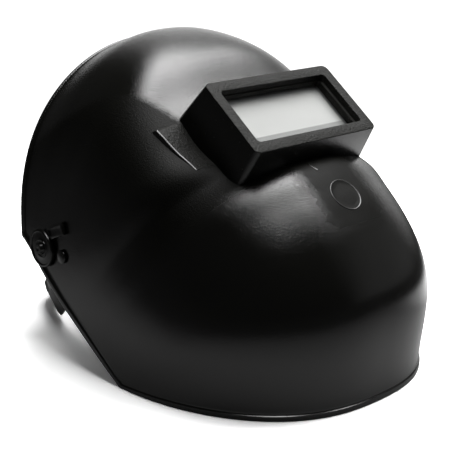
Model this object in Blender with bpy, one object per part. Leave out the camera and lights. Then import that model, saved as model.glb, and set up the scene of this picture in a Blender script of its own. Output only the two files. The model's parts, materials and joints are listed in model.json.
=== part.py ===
"""Welding mask: a moulded shell with a lens housing, and the head harness that carries it.

Metres, +Z up. The mask stands on its chin rim, leaning back, with the window facing up and
forward (-Y). X is across the mask. Sizes are worked out from the window's centre, and at the
end the whole assembly is moved so that the middle of its footprint is at the origin.
"""

import math

import bmesh
import bpy
import numpy as np
from mathutils import Matrix, Vector
from mathutils.bvhtree import BVHTree

# Shell
SHELL_WIDTH = 0.241
SHELL_DEPTH = 0.2637
SHELL_HEIGHT = 0.2355
SHELL_WALL = 0.0025
LIP_WIDTH = 0.0042
LIP_HEIGHT = 0.0013
LIP_STEP = 0.0007

# Window housing and the plates that it holds
WINDOW_LEAN = math.radians(37.0)
HOUSING_WIDTH = 0.120
HOUSING_TALL = 0.0648
HOUSING_DEEP = 0.046
HOUSING_DRAFT = 0.0014
HOUSING_CORNER = 0.006
HOUSING_EDGE = 0.0012
MOUTH_FRAME_SIDE = 0.0085
MOUTH_FRAME_TOP = 0.0087
MOUTH_DEEP = 0.005
MOUTH_CORNER = 0.003
LENS_WIDTH = 0.108
LENS_TALL = 0.051
LEDGE_SIDE = 0.0055
LEDGE_TOP = 0.0035
LEDGE_DEPTH = 0.010
COVER_LENS_THICK = 0.0018
CARD_THICK = 0.0010
CARD_FOLD = 0.0045
FILTER_THICK = 0.003
RETAINER_THICK = 0.004
RETAINER_BAR = 0.007
RETAINER_BACK = 0.003
PLATE_CORNER = 0.0015

# Flat land that the housing stands on, and the round flat below it
LAND_DEPTH = 0.038
LAND_MARGIN = 0.023
LAND_LOW = 0.012
LAND_HIGH = 0.036
LAND_THICK = 0.006
LAND_CORNER = 0.005
ROUND_FLAT_RADIUS = 0.0122
ROUND_FLAT_BELOW = 0.0727
ROUND_FLAT_PROUD = 0.0004

# Pivots
BOSS_RADIUS = 0.0144
BOSS_PROUD = 0.0003
BOSS_DEEP = 0.005
BOLT_RADIUS = 0.004
BOLT_HEAD_RADIUS = 0.008
BOLT_HEAD_THICK = 0.0025
KNOB_RADIUS = 0.0145
KNOB_THICK = 0.0038
KNOB_SOCKET = 0.0024
KNOB_HUB_RADIUS = 0.0042
KNOB_HUB_PROUD = 0.0012
KNOB_EDGE = 0.0009
STOP_FORWARD = 0.0182
STOP_ABOVE = 0.0172
STOP_TILT = math.radians(24.0)
STOP_LONG = 0.0226
STOP_WIDE = 0.0096
STOP_THICK = 0.0022
STOP_POCKET_EDGE = 0.0024
STOP_POCKET_DEEP = 0.0011
STOP_NECK_EDGE = 0.0021
STOP_PAD_EDGE = 0.0014
PLUG_FORWARD = 0.0255
PLUG_BELOW = 0.0005
PLUG_RADIUS = 0.0052
PLUG_THICK = 0.0016
PLUG_STEM_RADIUS = 0.0028
PAD_PROUD = 0.0004
PAD_ROOT = 0.0022
STEM_PAST_WALL = 0.001

# Head harness, in its own axes: across, back and up as it is worn
FLOOR_CLEARANCE = 0.0014
BAND_HALF_WIDTH = 0.081
BAND_FRONT = 0.100
BAND_REAR = 0.075
BAND_BACK = 0.040
BAND_BELOW = 0.0155
BAND_TALL = 0.022
BAND_THICK = 0.002
BAND_SQUARE_FRONT = 2.2
BAND_SQUARE_REAR = 3.3
NAPE_RISE = 0.028
NAPE_RISE_FROM = 0.55
STRAP_BACK = 0.040
STRAP_WIDE = 0.018
STRAP_THICK = 0.0018
STRAP_HIGH = 0.100
STRAP_TAIL = 0.008
ARM_WIDE = 0.016
ARM_THICK = 0.003
ARM_REACH = 0.034
ARM_SPACE = 0.003
ARM_FLAT = 0.016
ARM_DISC_RADIUS = 0.012
ARM_DISC_PROUD = 0.0003
STUD_RADIUS = 0.0025
STUD_PAST = 0.0012
RIVET_HEAD_RADIUS = 0.0045
RIVET_HEAD_THICK = 0.0012
CLASP_LONG = 0.036
CLASP_THICK = 0.0028
CLASP_EDGE = 0.002
CLASP_STUD_SPREAD = 0.010

# Clearances
PART_GAP = 0.0003
PLATE_CLEARANCE = 0.0008
CUT_PAST = 0.004

# How finely round and curved forms are cut into faces
ROWS = 30
COLUMNS = 31
ROUND_SIDES = 28
CORNER_STEPS = 3
BAND_STEPS = 56

# Sections of the shell from the crown's rear rim, over the brow, to the chin rim. Each runs from
# one side rim over the profile to the other. "depth" is the profile point's place behind the chin
# rim as a share of SHELL_DEPTH, "height" its height as a share of SHELL_HEIGHT, "width" the
# section's width as a share of SHELL_WIDTH. "side" and "top" say how square it is, 2 being an
# ellipse, and "rim" is its foot's place along the side rim, 0 at the crown and 1 at the chin.
SECTIONS = (
    # depth, height, width, side, top, rim
    (1.000, 0.945, 0.946, 1.80, 2.50, 0.00),
    (0.805, 1.000, 0.963, 2.30, 2.45, 0.13),
    (0.662, 0.957, 0.979, 2.90, 2.70, 0.24),
    (0.551, 0.826, 0.992, 4.60, 3.30, 0.36),
    (0.429, 0.705, 1.000, 5.60, 3.70, 0.48),
    (0.319, 0.671, 1.000, 2.80, 3.30, 0.57),
    (0.228, 0.669, 1.000, 2.10, 3.00, 0.65),
    (0.149, 0.607, 1.000, 2.15, 2.70, 0.72),
    (-0.003, 0.361, 0.998, 2.45, 2.35, 0.86),
    (0.000, 0.000, 0.989, 2.48, 1.88, 1.00),
)

# The side rim: from the foot of the crown's rear rim, round a bend, straight to the chin corner
SIDE_RIM = (
    # depth, height
    (0.998, 0.350),
    (0.947, 0.317),
    (0.520, 0.000),
)


# Where the window's centre and the pivots stand behind the chin and over the floor
PLACES = {
    # depth, height
    "window": (0.3307, 0.8195),
    "pivot": (0.8616, 0.3482),
}
CHIN_REACH = PLACES["window"][0] * SHELL_DEPTH
WINDOW_HEIGHT = PLACES["window"][1] * SHELL_HEIGHT
PIVOT_BACK = PLACES["pivot"][0] * SHELL_DEPTH - CHIN_REACH
PIVOT_UP = PLACES["pivot"][1] * SHELL_HEIGHT


def clear_scene():
    for obj in list(bpy.data.objects):
        bpy.data.objects.remove(obj, do_unlink=True)
    for group in list(bpy.data.collections):
        if not group.objects and not group.children:
            bpy.data.collections.remove(group)


def make_material(name, colour, roughness, metallic=0.0, alpha=1.0):
    material = bpy.data.materials.new(name)
    material.use_nodes = True
    shader = material.node_tree.nodes["Principled BSDF"]
    shader.inputs["Base Color"].default_value = (*colour, 1.0)
    shader.inputs["Roughness"].default_value = roughness
    shader.inputs["Metallic"].default_value = metallic
    shader.inputs["Alpha"].default_value = alpha
    return material


def make_object(name, points, faces, parent, material=None, matrix=None):
    """One closed mesh, with its normals pointing out."""
    shape = bmesh.new()
    corners = [shape.verts.new(tuple(point)) for point in points]
    for face in faces:
        shape.faces.new([corners[index] for index in face])
    bmesh.ops.recalc_face_normals(shape, faces=shape.faces)
    mesh = bpy.data.meshes.new(name)
    shape.to_mesh(mesh)
    shape.free()
    mesh.shade_smooth()
    mesh.set_sharp_from_angle(angle=math.radians(30.0))
    obj = bpy.data.objects.new(name, mesh)
    bpy.context.collection.objects.link(obj)
    obj.parent = parent
    if material:
        mesh.materials.append(material)
    if matrix is not None:
        obj.matrix_local = matrix
    return obj


def combine(target, tool, operation):
    """Joins a hidden tool to the target, or cuts it away, all of one kind in a single step."""
    tool.hide_render = True
    tool.display_type = "WIRE"
    name = f"{target.name}_{operation.lower()}"
    group = bpy.data.collections.get(name)
    if group is None:
        group = bpy.data.collections.new(name)
        modifier = target.modifiers.new(name, "BOOLEAN")
        modifier.operation = operation
        modifier.solver = "EXACT"
        modifier.operand_type = "COLLECTION"
        modifier.collection = group
    group.objects.link(tool)


def rounded_rectangle(half_x, half_y, radius, steps=CORNER_STEPS):
    """Anticlockwise loop of (x, y)."""
    loop = []
    for turn, (sign_x, sign_y) in enumerate(((1, 1), (-1, 1), (-1, -1), (1, -1))):
        for step in range(steps + 1):
            angle = math.pi / 2 * (turn + step / steps)
            loop.append(
                (
                    sign_x * (half_x - radius) + radius * math.cos(angle),
                    sign_y * (half_y - radius) + radius * math.sin(angle),
                )
            )
    return loop


def circle(radius, sides=ROUND_SIDES):
    turns = [2 * math.pi * side / sides for side in range(sides)]
    return [(radius * math.cos(turn), radius * math.sin(turn)) for turn in turns]


def stack(sections):
    """Points and faces of a solid lofted through (loop, z) sections with equal counts."""
    count = len(sections[0][0])
    points = [(x, y, z) for loop, z in sections for x, y in loop]
    faces = [tuple(reversed(range(count)))]
    for level in range(len(sections) - 1):
        low = level * count
        for side in range(count):
            after = (side + 1) % count
            faces.append((low + side, low + after, low + count + after, low + count + side))
    faces.append(tuple(range(len(points) - count, len(points))))
    return points, faces


def smooth_through(knots, values, places, limited):
    """Cubic curve through the values; limited slopes never overshoot."""
    knots = np.asarray(knots, float)
    values = np.asarray(values, float)
    steps = np.diff(knots)
    slopes = np.diff(values) / steps
    ends = np.empty_like(values)
    ends[0], ends[-1] = slopes[0], slopes[-1]
    mixed = (slopes[:-1] * steps[1:] + slopes[1:] * steps[:-1]) / (steps[:-1] + steps[1:])
    if limited:
        same_way = slopes[:-1] * slopes[1:] > 0
        total = np.where(same_way, slopes[:-1] + slopes[1:], 1.0)
        mixed = np.where(same_way, 2 * slopes[:-1] * slopes[1:] / total, 0.0)
    ends[1:-1] = mixed
    index = np.clip(np.searchsorted(knots, places, side="right") - 1, 0, len(steps) - 1)
    step = steps[index]
    part = (places - knots[index]) / step
    return (
        (2 * part**3 - 3 * part**2 + 1) * values[index]
        + (part**3 - 2 * part**2 + part) * step * ends[index]
        + (3 * part**2 - 2 * part**3) * values[index + 1]
        + (part**3 - part**2) * step * ends[index + 1]
    )


class ShellForm:
    """The shell's outer face as a function of the place along the profile and round a section."""

    def __init__(self):
        table = np.array(SECTIONS)
        self.profile_y = table[:, 0] * SHELL_DEPTH - CHIN_REACH
        self.profile_z = table[:, 1] * SHELL_HEIGHT
        self.half_width = table[:, 2] * SHELL_WIDTH / 2
        self.side_power = table[:, 3]
        self.top_power = table[:, 4]
        self.rim_share = table[:, 5]
        lengths = np.hypot(np.diff(self.profile_y), np.diff(self.profile_z))
        self.knots = np.concatenate(([0.0], np.cumsum(lengths))) / lengths.sum()
        rim = np.array(SIDE_RIM)
        self.rim_y = rim[:, 0] * SHELL_DEPTH - CHIN_REACH
        self.rim_z = rim[:, 1] * SHELL_HEIGHT
        runs = np.hypot(np.diff(self.rim_y), np.diff(self.rim_z))
        self.rim_knots = np.concatenate(([0.0], np.cumsum(runs))) / runs.sum()

    def section(self, along):
        """Profile point, rim foot, half width and squareness at each place along the profile."""
        def free(values):
            return smooth_through(self.knots, values, along, limited=False)

        def held(values):
            return smooth_through(self.knots, values, along, limited=True)

        foot = held(self.rim_share)
        return (
            free(self.profile_y),
            free(self.profile_z),
            np.interp(foot, self.rim_knots, self.rim_y),
            np.interp(foot, self.rim_knots, self.rim_z),
            held(self.half_width),
            held(self.side_power),
            held(self.top_power),
        )

    def point(self, along, turn):
        """Outer points; turn runs from -pi/2 at the right rim, over 0, to pi/2 at the left rim."""
        top_y, top_z, foot_y, foot_z, half, side, top = self.section(along)
        across = np.abs(np.sin(turn))
        rise = np.abs(np.cos(turn))
        low = np.full(np.shape(across), 0.7)
        high = np.full(np.shape(across), 1.5)
        for _ in range(40):
            middle = (low + high) / 2
            outside = (middle * across) ** side + (middle * rise) ** top > 1
            high = np.where(outside, middle, high)
            low = np.where(outside, low, middle)
        reach = (low + high) / 2
        share = reach * rise
        return np.stack(
            (
                half * reach * np.sin(turn),
                foot_y + (top_y - foot_y) * share,
                foot_z + (top_z - foot_z) * share,
            ),
            axis=-1,
        )

    def normal(self, along, turn):
        """Outward unit normals, from small steps each way."""
        step = 1e-4
        before = np.clip(along - step, 0, 1)
        after = np.clip(along + step, 0, 1)
        run = self.point(after, turn) - self.point(before, turn)
        left = np.clip(turn + step, -math.pi / 2, math.pi / 2)
        right = np.clip(turn - step, -math.pi / 2, math.pi / 2)
        cross = np.cross(run, self.point(along, left) - self.point(along, right))
        return cross / np.linalg.norm(cross, axis=-1, keepdims=True)

    def grid(self):
        """Places and turns of the grid, with rows and columns set at the lip's two edges."""
        lip_lines = (0.0, LIP_WIDTH, LIP_WIDTH + LIP_STEP)
        shares = np.linspace(0, 1, COLUMNS)
        edge_turns = np.full(len(lip_lines) - 1, shares[0])
        inner_turns = np.concatenate((edge_turns, shares, 1 - edge_turns))
        rows = np.linspace(0, 1, ROWS)
        edge_rows = np.full(len(lip_lines) - 1, rows[0])
        inner_rows = np.concatenate((edge_rows, rows, 1 - edge_rows))
        along, turn = np.meshgrid(inner_rows, math.pi * (inner_turns - 0.5), indexing="ij")
        small = 0.01
        first = self.point(along[0] + small, turn[0]) - self.point(along[0], turn[0])
        last = self.point(along[-1] - small, turn[-1]) - self.point(along[-1], turn[-1])
        first_speed = np.linalg.norm(first, axis=-1) / small
        last_speed = np.linalg.norm(last, axis=-1) / small
        first_lip = lip_lines[-1] / first_speed
        last_lip = lip_lines[-1] / last_speed
        along = first_lip + (1 - first_lip - last_lip) * along
        for index, width in enumerate(lip_lines[:-1]):
            along[index] = width / first_speed
            along[-1 - index] = 1 - width / last_speed
        top_y, top_z, foot_y, foot_z = self.section(along)[:4]
        reach = np.hypot(top_y - foot_y, top_z - foot_z)
        side_lip = lip_lines[-1] / reach
        turn = turn * (1 - side_lip / (math.pi / 2))
        for index, width in enumerate(lip_lines[:-1]):
            turn[:, index] = -math.pi / 2 + width / reach[:, index]
            turn[:, -1 - index] = math.pi / 2 - width / reach[:, -1 - index]
        return along, turn


def shell_body(form, parent, material):
    """The plain shell: an outer and an inner face a wall apart, with a raised lip round the rim."""
    along, turn = form.grid()
    outer = form.point(along, turn)
    normal = form.normal(along, turn)
    inner = outer - SHELL_WALL * normal
    lip = np.zeros(along.shape, bool)
    lip[:2] = lip[-2:] = True
    lip[:, :2] = lip[:, -2:] = True
    outer = outer + np.where(lip[..., None], LIP_HEIGHT * normal, 0.0)
    for face in (outer, inner):
        face[-1, :, 2] = 0.0
        face[:, :, 2] = np.maximum(face[:, :, 2], 0.0)
    rows, columns = along.shape
    count = rows * columns
    points = np.concatenate((outer.reshape(-1, 3), inner.reshape(-1, 3)))

    def at(row, column):
        return row * columns + column

    faces = []
    for row in range(rows - 1):
        for column in range(columns - 1):
            quad = (
                at(row, column),
                at(row + 1, column),
                at(row + 1, column + 1),
                at(row, column + 1),
            )
            faces.append(quad)
            faces.append(tuple(count + index for index in reversed(quad)))
    border = [at(0, column) for column in range(columns)]
    border += [at(row, columns - 1) for row in range(1, rows)]
    border += [at(rows - 1, column) for column in range(columns - 2, -1, -1)]
    border += [at(row, 0) for row in range(rows - 2, 0, -1)]
    for here, after in zip(border, border[1:] + border[:1]):
        faces.append((here, after, count + after, count + here))
    return make_object("shell", points, faces, parent, material)


def outer_tree(form):
    """The outer face without the lip, for finding where fittings sit on it."""
    along, turn = np.meshgrid(
        np.linspace(0, 1, 3 * ROWS), np.linspace(-math.pi / 2, math.pi / 2, 3 * COLUMNS), indexing="ij"
    )
    points = form.point(along, turn)
    rows, columns = along.shape
    faces = [
        (row * columns + col, (row + 1) * columns + col, (row + 1) * columns + col + 1, row * columns + col + 1)
        for row in range(rows - 1)
        for col in range(columns - 1)
    ]
    return BVHTree.FromPolygons([tuple(point) for point in points.reshape(-1, 3)], faces)


def window_matrix():
    """Axes of the window: x across, y up along its face, z out of it."""
    place = Matrix.Translation((0.0, 0.0, WINDOW_HEIGHT))
    return place @ Matrix.Rotation(WINDOW_LEAN, 4, "X")


def window_plate(name, half_x, half_y, front, thick, corner, parent, material=None):
    """A flat plate parallel to the window, whose front is at this depth behind the housing's face."""
    loop = rounded_rectangle(half_x, half_y, corner)
    points, faces = stack(((loop, -front - thick), (loop, -front)))
    return make_object(name, points, faces, parent, material, window_matrix())


def add_housing(shell, parent):
    """The lens housing, its land and its stepped mouth, moulded in one with the shell."""
    half_x, half_y = HOUSING_WIDTH / 2, HOUSING_TALL / 2
    narrow = rounded_rectangle(half_x - HOUSING_EDGE, half_y - HOUSING_EDGE, HOUSING_CORNER - HOUSING_EDGE)
    full = rounded_rectangle(half_x, half_y, HOUSING_CORNER)
    base = rounded_rectangle(half_x + HOUSING_DRAFT, half_y + HOUSING_DRAFT, HOUSING_CORNER)
    points, faces = stack(((base, -HOUSING_DEEP), (full, -HOUSING_EDGE), (narrow, 0.0)))
    housing = make_object("housing_walls", points, faces, parent, matrix=window_matrix())
    land = window_plate(
        "housing_land",
        half_x + LAND_MARGIN,
        (LAND_LOW + LAND_HIGH) / 2,
        LAND_DEPTH,
        LAND_THICK,
        LAND_CORNER,
        parent,
    )
    land.matrix_local = window_matrix() @ Matrix.Translation((0.0, (LAND_HIGH - LAND_LOW) / 2, 0.0))
    combine(shell, land, "UNION")
    combine(shell, housing, "UNION")
    past = 2 * SHELL_WALL + HOUSING_DEEP
    retained = LEDGE_DEPTH + COVER_LENS_THICK + CARD_THICK + FILTER_THICK + RETAINER_THICK + RETAINER_BACK
    pocket_x, pocket_y = LENS_WIDTH / 2 + PLATE_CLEARANCE, LENS_TALL / 2 + PLATE_CLEARANCE
    cuts = (
        ("mouth", half_x - MOUTH_FRAME_SIDE, half_y - MOUTH_FRAME_TOP, -CUT_PAST, MOUTH_DEEP, MOUTH_CORNER),
        ("viewport", pocket_x - LEDGE_SIDE, pocket_y - LEDGE_TOP, 0.0, LEDGE_DEPTH + PART_GAP, MOUTH_CORNER),
        ("lens_pocket", pocket_x, pocket_y, LEDGE_DEPTH, LEDGE_DEPTH + past, PLATE_CORNER),
        ("housing_cavity", half_x - SHELL_WALL, half_y - SHELL_WALL, retained, past, MOUTH_CORNER),
    )
    for name, cut_x, cut_y, front, back, corner in cuts:
        cutter = window_plate(name, cut_x, cut_y, front, back - front, corner, parent)
        combine(shell, cutter, "DIFFERENCE")


def add_plates(parent, finishes):
    """Cover lens, window card, filter glass and the frame that keeps them in, from the front."""
    half_x, half_y = LENS_WIDTH / 2, LENS_TALL / 2
    depth = LEDGE_DEPTH + PART_GAP
    window_plate(
        "cover_lens", half_x, half_y, depth, COVER_LENS_THICK, PLATE_CORNER, parent, finishes["clear"]
    )
    depth += COVER_LENS_THICK + PART_GAP
    window_plate("window_card", half_x, half_y, depth, CARD_THICK, PLATE_CORNER, parent, finishes["card"])
    depth += CARD_THICK + PART_GAP
    window_plate(
        "filter_glass", half_x, half_y, depth, FILTER_THICK, PLATE_CORNER, parent, finishes["dark_glass"]
    )
    depth += FILTER_THICK + PART_GAP
    frame = window_plate(
        "lens_retainer",
        half_x + PLATE_CLEARANCE - PART_GAP,
        half_y + PLATE_CLEARANCE - PART_GAP,
        depth,
        RETAINER_THICK,
        PLATE_CORNER,
        parent,
        finishes["fitting"],
    )
    opening = window_plate(
        "retainer_opening",
        half_x - RETAINER_BAR,
        half_y - RETAINER_BAR,
        depth - CUT_PAST,
        RETAINER_THICK + 2 * CUT_PAST,
        PLATE_CORNER,
        parent,
    )
    combine(frame, opening, "DIFFERENCE")


def add_round_flat(shell, form, tree, parent):
    """The small round flat on the midline below the housing."""
    axes = window_matrix()
    start = axes @ Vector((0.0, -ROUND_FLAT_BELOW, HOUSING_DEEP))
    way = -(axes.to_3x3() @ Vector((0.0, 0.0, 1.0)))
    hit, normal, _, _ = tree.ray_cast(start, way)
    seat = seat_matrix(hit, outward(normal, Vector((0.0, -1.0, 0.0))), Vector((1.0, 0.0, 0.0)))
    loop = circle(ROUND_FLAT_RADIUS)
    points, faces = stack(((loop, -SHELL_WALL / 2), (loop, ROUND_FLAT_PROUD)))
    disc = make_object("round_flat", points, faces, parent, matrix=seat)
    combine(shell, disc, "UNION")


def outward(normal, towards):
    return normal if normal.dot(towards) > 0 else -normal


def seat_matrix(place, normal, along):
    """Axes with z out of the surface and x near the given direction."""
    out = normal.normalized()
    first = (along - along.dot(out) * out).normalized()
    second = out.cross(first)
    axes = Matrix((first, second, out)).transposed().to_4x4()
    return Matrix.Translation(place) @ axes


def side_place(tree, back, up, side):
    """Where the shell's outer face lies at this height and depth, on side -1 (right) or 1 (left)."""
    start = Vector((side * SHELL_WIDTH, back, up))
    hit, normal, _, _ = tree.ray_cast(start, Vector((-side, 0.0, 0.0)))
    return hit, outward(normal, Vector((side, 0.0, 0.0)))


def level_seat(tree, hit, normal, along, half_x, half_y):
    """Axes of a seat whose plane just clears the shell under a fitting of this size."""
    axes = seat_matrix(hit, normal, along)
    way = -normal.normalized()
    highest = 0.0
    for share_x in (-1, -0.5, 0, 0.5, 1):
        for share_y in (-1, 0, 1):
            start = axes @ Vector((share_x * half_x, share_y * half_y, SHELL_WIDTH / 4))
            found = tree.ray_cast(start, way)[0]
            if found:
                highest = max(highest, (axes.inverted() @ found).z)
    return axes @ Matrix.Translation((0.0, 0.0, highest))


def boss_face(tree):
    """Distance of the pivot bosses' flat outer faces from the middle: clear of the bulge round them."""
    widest = 0.0
    for back, up in circle(BOSS_RADIUS, ROUND_SIDES // 2):
        hit, _ = side_place(tree, PIVOT_BACK + back, PIVOT_UP + up, 1)
        widest = max(widest, hit.x)
    return widest + BOSS_PROUD


def add_pivot(shell, tree, side, name, parents, finishes):
    """The boss and bore in the shell, the turning knob outside and the bolt through both."""
    face = boss_face(tree)
    place = Vector((0.0, PIVOT_BACK, PIVOT_UP))
    across = seat_matrix(place, Vector((side, 0.0, 0.0)), Vector((0.0, 1.0, 0.0)))
    loop = circle(BOSS_RADIUS)
    root = face - BOSS_DEEP
    points, faces = stack(((loop, root), (loop, face)))
    combine(shell, make_object(f"boss_{name}", points, faces, parents["shell"], matrix=across), "UNION")
    loop = circle(BOLT_RADIUS + PART_GAP)
    points, faces = stack(((loop, root - 2 * CUT_PAST), (loop, face + CUT_PAST)))
    combine(shell, make_object(f"bore_{name}", points, faces, parents["shell"], matrix=across), "DIFFERENCE")

    turning = bpy.data.objects.new(f"knob_axis_{name}", None)
    bpy.context.collection.objects.link(turning)
    turning.parent = parents["frame"]
    turning.location = place
    level = seat_matrix(Vector(), Vector((side, 0.0, 0.0)), Vector((0.0, 1.0, 0.0)))
    back = face + PART_GAP
    front = back + KNOB_THICK
    profile = (
        (BOLT_RADIUS + PART_GAP, back + KNOB_SOCKET),
        (BOLT_RADIUS + PART_GAP, back),
        (KNOB_RADIUS, back),
        (KNOB_RADIUS, front - KNOB_EDGE),
        (KNOB_RADIUS - KNOB_EDGE, front),
        (KNOB_HUB_RADIUS, front),
        (KNOB_HUB_RADIUS * 0.8, front + KNOB_HUB_PROUD * 0.8),
        (KNOB_HUB_RADIUS * 0.4, front + KNOB_HUB_PROUD),
    )
    points, faces = stack([(circle(radius), z) for radius, z in profile])
    make_object(f"pivot_knob_{name}", points, faces, turning, finishes["knob"], level)

    arm_inside = root - ARM_SPACE - ARM_THICK
    profile = (
        (BOLT_HEAD_RADIUS, arm_inside - PART_GAP - BOLT_HEAD_THICK),
        (BOLT_HEAD_RADIUS, arm_inside - PART_GAP),
        (BOLT_RADIUS, arm_inside - PART_GAP),
        (BOLT_RADIUS, back + KNOB_SOCKET - PART_GAP),
    )
    points, faces = stack([(circle(radius), z) for radius, z in profile])
    make_object(f"pivot_bolt_{name}", points, faces, parents["harness"], finishes["fitting"], level)
    return arm_inside


def add_stop_and_plug(shell, tree, side, name, parents, finishes):
    """The angle stop and the small round plug, each with its pad and hole in the shell."""
    slope = Vector((0.0, -math.cos(STOP_TILT), math.sin(STOP_TILT)))
    hit, normal = side_place(tree, PIVOT_BACK - STOP_FORWARD, PIVOT_UP + STOP_ABOVE, side)
    half_x, half_y = STOP_LONG / 2, STOP_WIDE / 2
    axes = level_seat(tree, hit, normal, slope, half_x, half_y)
    corner = STOP_PAD_EDGE / 2
    pad = rounded_rectangle(half_x + STOP_PAD_EDGE, half_y + STOP_PAD_EDGE, 2 * STOP_PAD_EDGE)
    points, faces = stack(((pad, -PAD_ROOT), (pad, PAD_PROUD)))
    combine(shell, make_object(f"stop_pad_{name}", points, faces, parents["shell"], matrix=axes), "UNION")
    neck_x, neck_y = half_x - STOP_NECK_EDGE, half_y - STOP_NECK_EDGE
    slot = rounded_rectangle(neck_x + PART_GAP, neck_y + PART_GAP, corner)
    points, faces = stack(((slot, -SHELL_WALL - CUT_PAST), (slot, PAD_PROUD + CUT_PAST)))
    combine(shell, make_object(f"stop_slot_{name}", points, faces, parents["shell"], matrix=axes), "DIFFERENCE")
    low = PAD_PROUD + PART_GAP
    inner_end = -SHELL_WALL - STEM_PAST_WALL
    neck = rounded_rectangle(neck_x, neck_y, corner)
    head = rounded_rectangle(half_x, half_y, corner)
    pocket = rounded_rectangle(half_x - STOP_POCKET_EDGE, half_y - STOP_POCKET_EDGE, corner)
    points, faces = stack(
        (
            (neck, inner_end),
            (neck, low),
            (head, low),
            (head, low + STOP_THICK),
            (pocket, low + STOP_THICK),
            (pocket, low + STOP_THICK - STOP_POCKET_DEEP),
        )
    )
    stop = make_object(f"angle_stop_{name}", points, faces, parents["shell"], finishes["knob"], axes)
    loop = circle(KNOB_RADIUS + PART_GAP, 2 * ROUND_SIDES)
    face = boss_face(tree)
    level = seat_matrix(
        Vector((0.0, PIVOT_BACK, PIVOT_UP)), Vector((side, 0.0, 0.0)), Vector((0.0, 1.0, 0.0))
    )
    for target, bottom, use in ((stop, face - BOSS_DEEP, "stop"), (shell, face, "pad")):
        points, faces = stack(((loop, bottom), (loop, face + 2 * CUT_PAST)))
        relief = make_object(f"{use}_relief_{name}", points, faces, parents["shell"], matrix=level)
        combine(target, relief, "DIFFERENCE")

    hit, normal = side_place(tree, PIVOT_BACK - PLUG_FORWARD, PIVOT_UP - PLUG_BELOW, side)
    axes = level_seat(tree, hit, normal, slope, PLUG_RADIUS, PLUG_RADIUS)
    loop = circle(PLUG_RADIUS + STOP_PAD_EDGE / 2)
    points, faces = stack(((loop, -PAD_ROOT), (loop, PAD_PROUD)))
    combine(shell, make_object(f"plug_pad_{name}", points, faces, parents["shell"], matrix=axes), "UNION")
    loop = circle(PLUG_STEM_RADIUS + PART_GAP)
    points, faces = stack(((loop, -SHELL_WALL - CUT_PAST), (loop, PAD_PROUD + CUT_PAST)))
    combine(shell, make_object(f"plug_hole_{name}", points, faces, parents["shell"], matrix=axes), "DIFFERENCE")
    top = low + PLUG_THICK
    profile = (
        (PLUG_STEM_RADIUS, inner_end),
        (PLUG_STEM_RADIUS, low),
        (PLUG_RADIUS, low),
        (PLUG_RADIUS, top - KNOB_EDGE / 2),
        (PLUG_RADIUS - KNOB_EDGE, top),
    )
    points, faces = stack([(circle(radius), z) for radius, z in profile])
    make_object(f"stop_plug_{name}", points, faces, parents["shell"], finishes["knob"], axes)


def band_line(turn, offset=0.0):
    """The headband's middle line in harness axes; turn is 0 at the left side and pi/2 at the nape."""
    across, back = math.cos(turn), math.sin(turn)
    power = BAND_SQUARE_REAR if back > 0 else BAND_SQUARE_FRONT
    length = BAND_REAR if back > 0 else BAND_FRONT
    reach = (abs(across) ** power + abs(back) ** power) ** (-1 / power)
    share = max(0.0, reach * back) if back > 0 else 0.0
    part = min(1.0, max(0.0, (share - NAPE_RISE_FROM) / (1 - NAPE_RISE_FROM)))
    rise = NAPE_RISE * part * part * (3 - 2 * part)
    half = BAND_HALF_WIDTH + offset
    long = length + offset
    return Vector((half * reach * across, BAND_BACK + long * reach * back, rise - BAND_BELOW))


def harness_lean():
    """How far the harness leans back when its nape hangs just clear of the floor."""
    turns = [2 * math.pi * step / BAND_STEPS for step in range(BAND_STEPS)]
    corners = [corner for turn in turns for corner in band_ring(turn, 0.0, BAND_THICK)]
    level, steep = 0.0, math.pi / 2
    for _ in range(40):
        middle = (level + steep) / 2
        lowest = min(corner.z * math.cos(middle) - corner.y * math.sin(middle) for corner in corners)
        if PIVOT_UP + lowest > FLOOR_CLEARANCE:
            level = middle
        else:
            steep = middle
    return (level + steep) / 2


def strip_solid(name, rings, closed, parent, material):
    """A solid through four-cornered sections, closed into a ring or capped at both ends."""
    points = [corner for ring in rings for corner in ring]
    count = len(rings)
    faces = []
    for step in range(count if closed else count - 1):
        here, after = 4 * step, 4 * ((step + 1) % count)
        for side in range(4):
            turn = (side + 1) % 4
            faces.append((here + side, here + turn, after + turn, after + side))
    if not closed:
        faces.append((0, 1, 2, 3))
        faces.append(tuple(4 * (count - 1) + side for side in range(4)))
    return make_object(name, points, faces, parent, material)


def band_ring(turn, inner, outer, edge=0.0):
    """Corners of one section of a strip that follows the headband, this much inside its edges."""
    near, far = band_line(turn, inner), band_line(turn, outer)
    up = Vector((0.0, 0.0, BAND_TALL / 2 - edge))
    return [near - up, far - up, far + up, near + up]


def stud_matrix(turn, outer):
    """Axes on the headband's outer face, z outwards, x along the band."""
    step = 0.01
    place = band_line(turn, outer)
    along = (band_line(turn + step, outer) - band_line(turn - step, outer)).normalized()
    out = along.cross(Vector((0.0, 0.0, 1.0))).normalized()
    return seat_matrix(place, out, along)


def turned_pin(name, matrix, profile, parent, material=None):
    points, faces = stack([(circle(radius, ROUND_SIDES // 2), z) for radius, z in profile])
    return make_object(name, points, faces, parent, material, matrix)


def band_turn_at(back):
    """The turn at which the left side of the headband is this far behind the pivots."""
    low, high = -math.pi / 2, math.pi / 2
    for _ in range(40):
        middle = (low + high) / 2
        if band_line(middle).y < back:
            low = middle
        else:
            high = middle
    return (low + high) / 2


def add_headband(parent, finishes):
    """The ring round the head, with holes for the studs that fasten to it."""
    turns = [2 * math.pi * step / BAND_STEPS for step in range(BAND_STEPS)]
    rings = [band_ring(turn, 0.0, BAND_THICK) for turn in turns]
    return strip_solid("headband", rings, True, parent, finishes["harness"])


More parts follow.
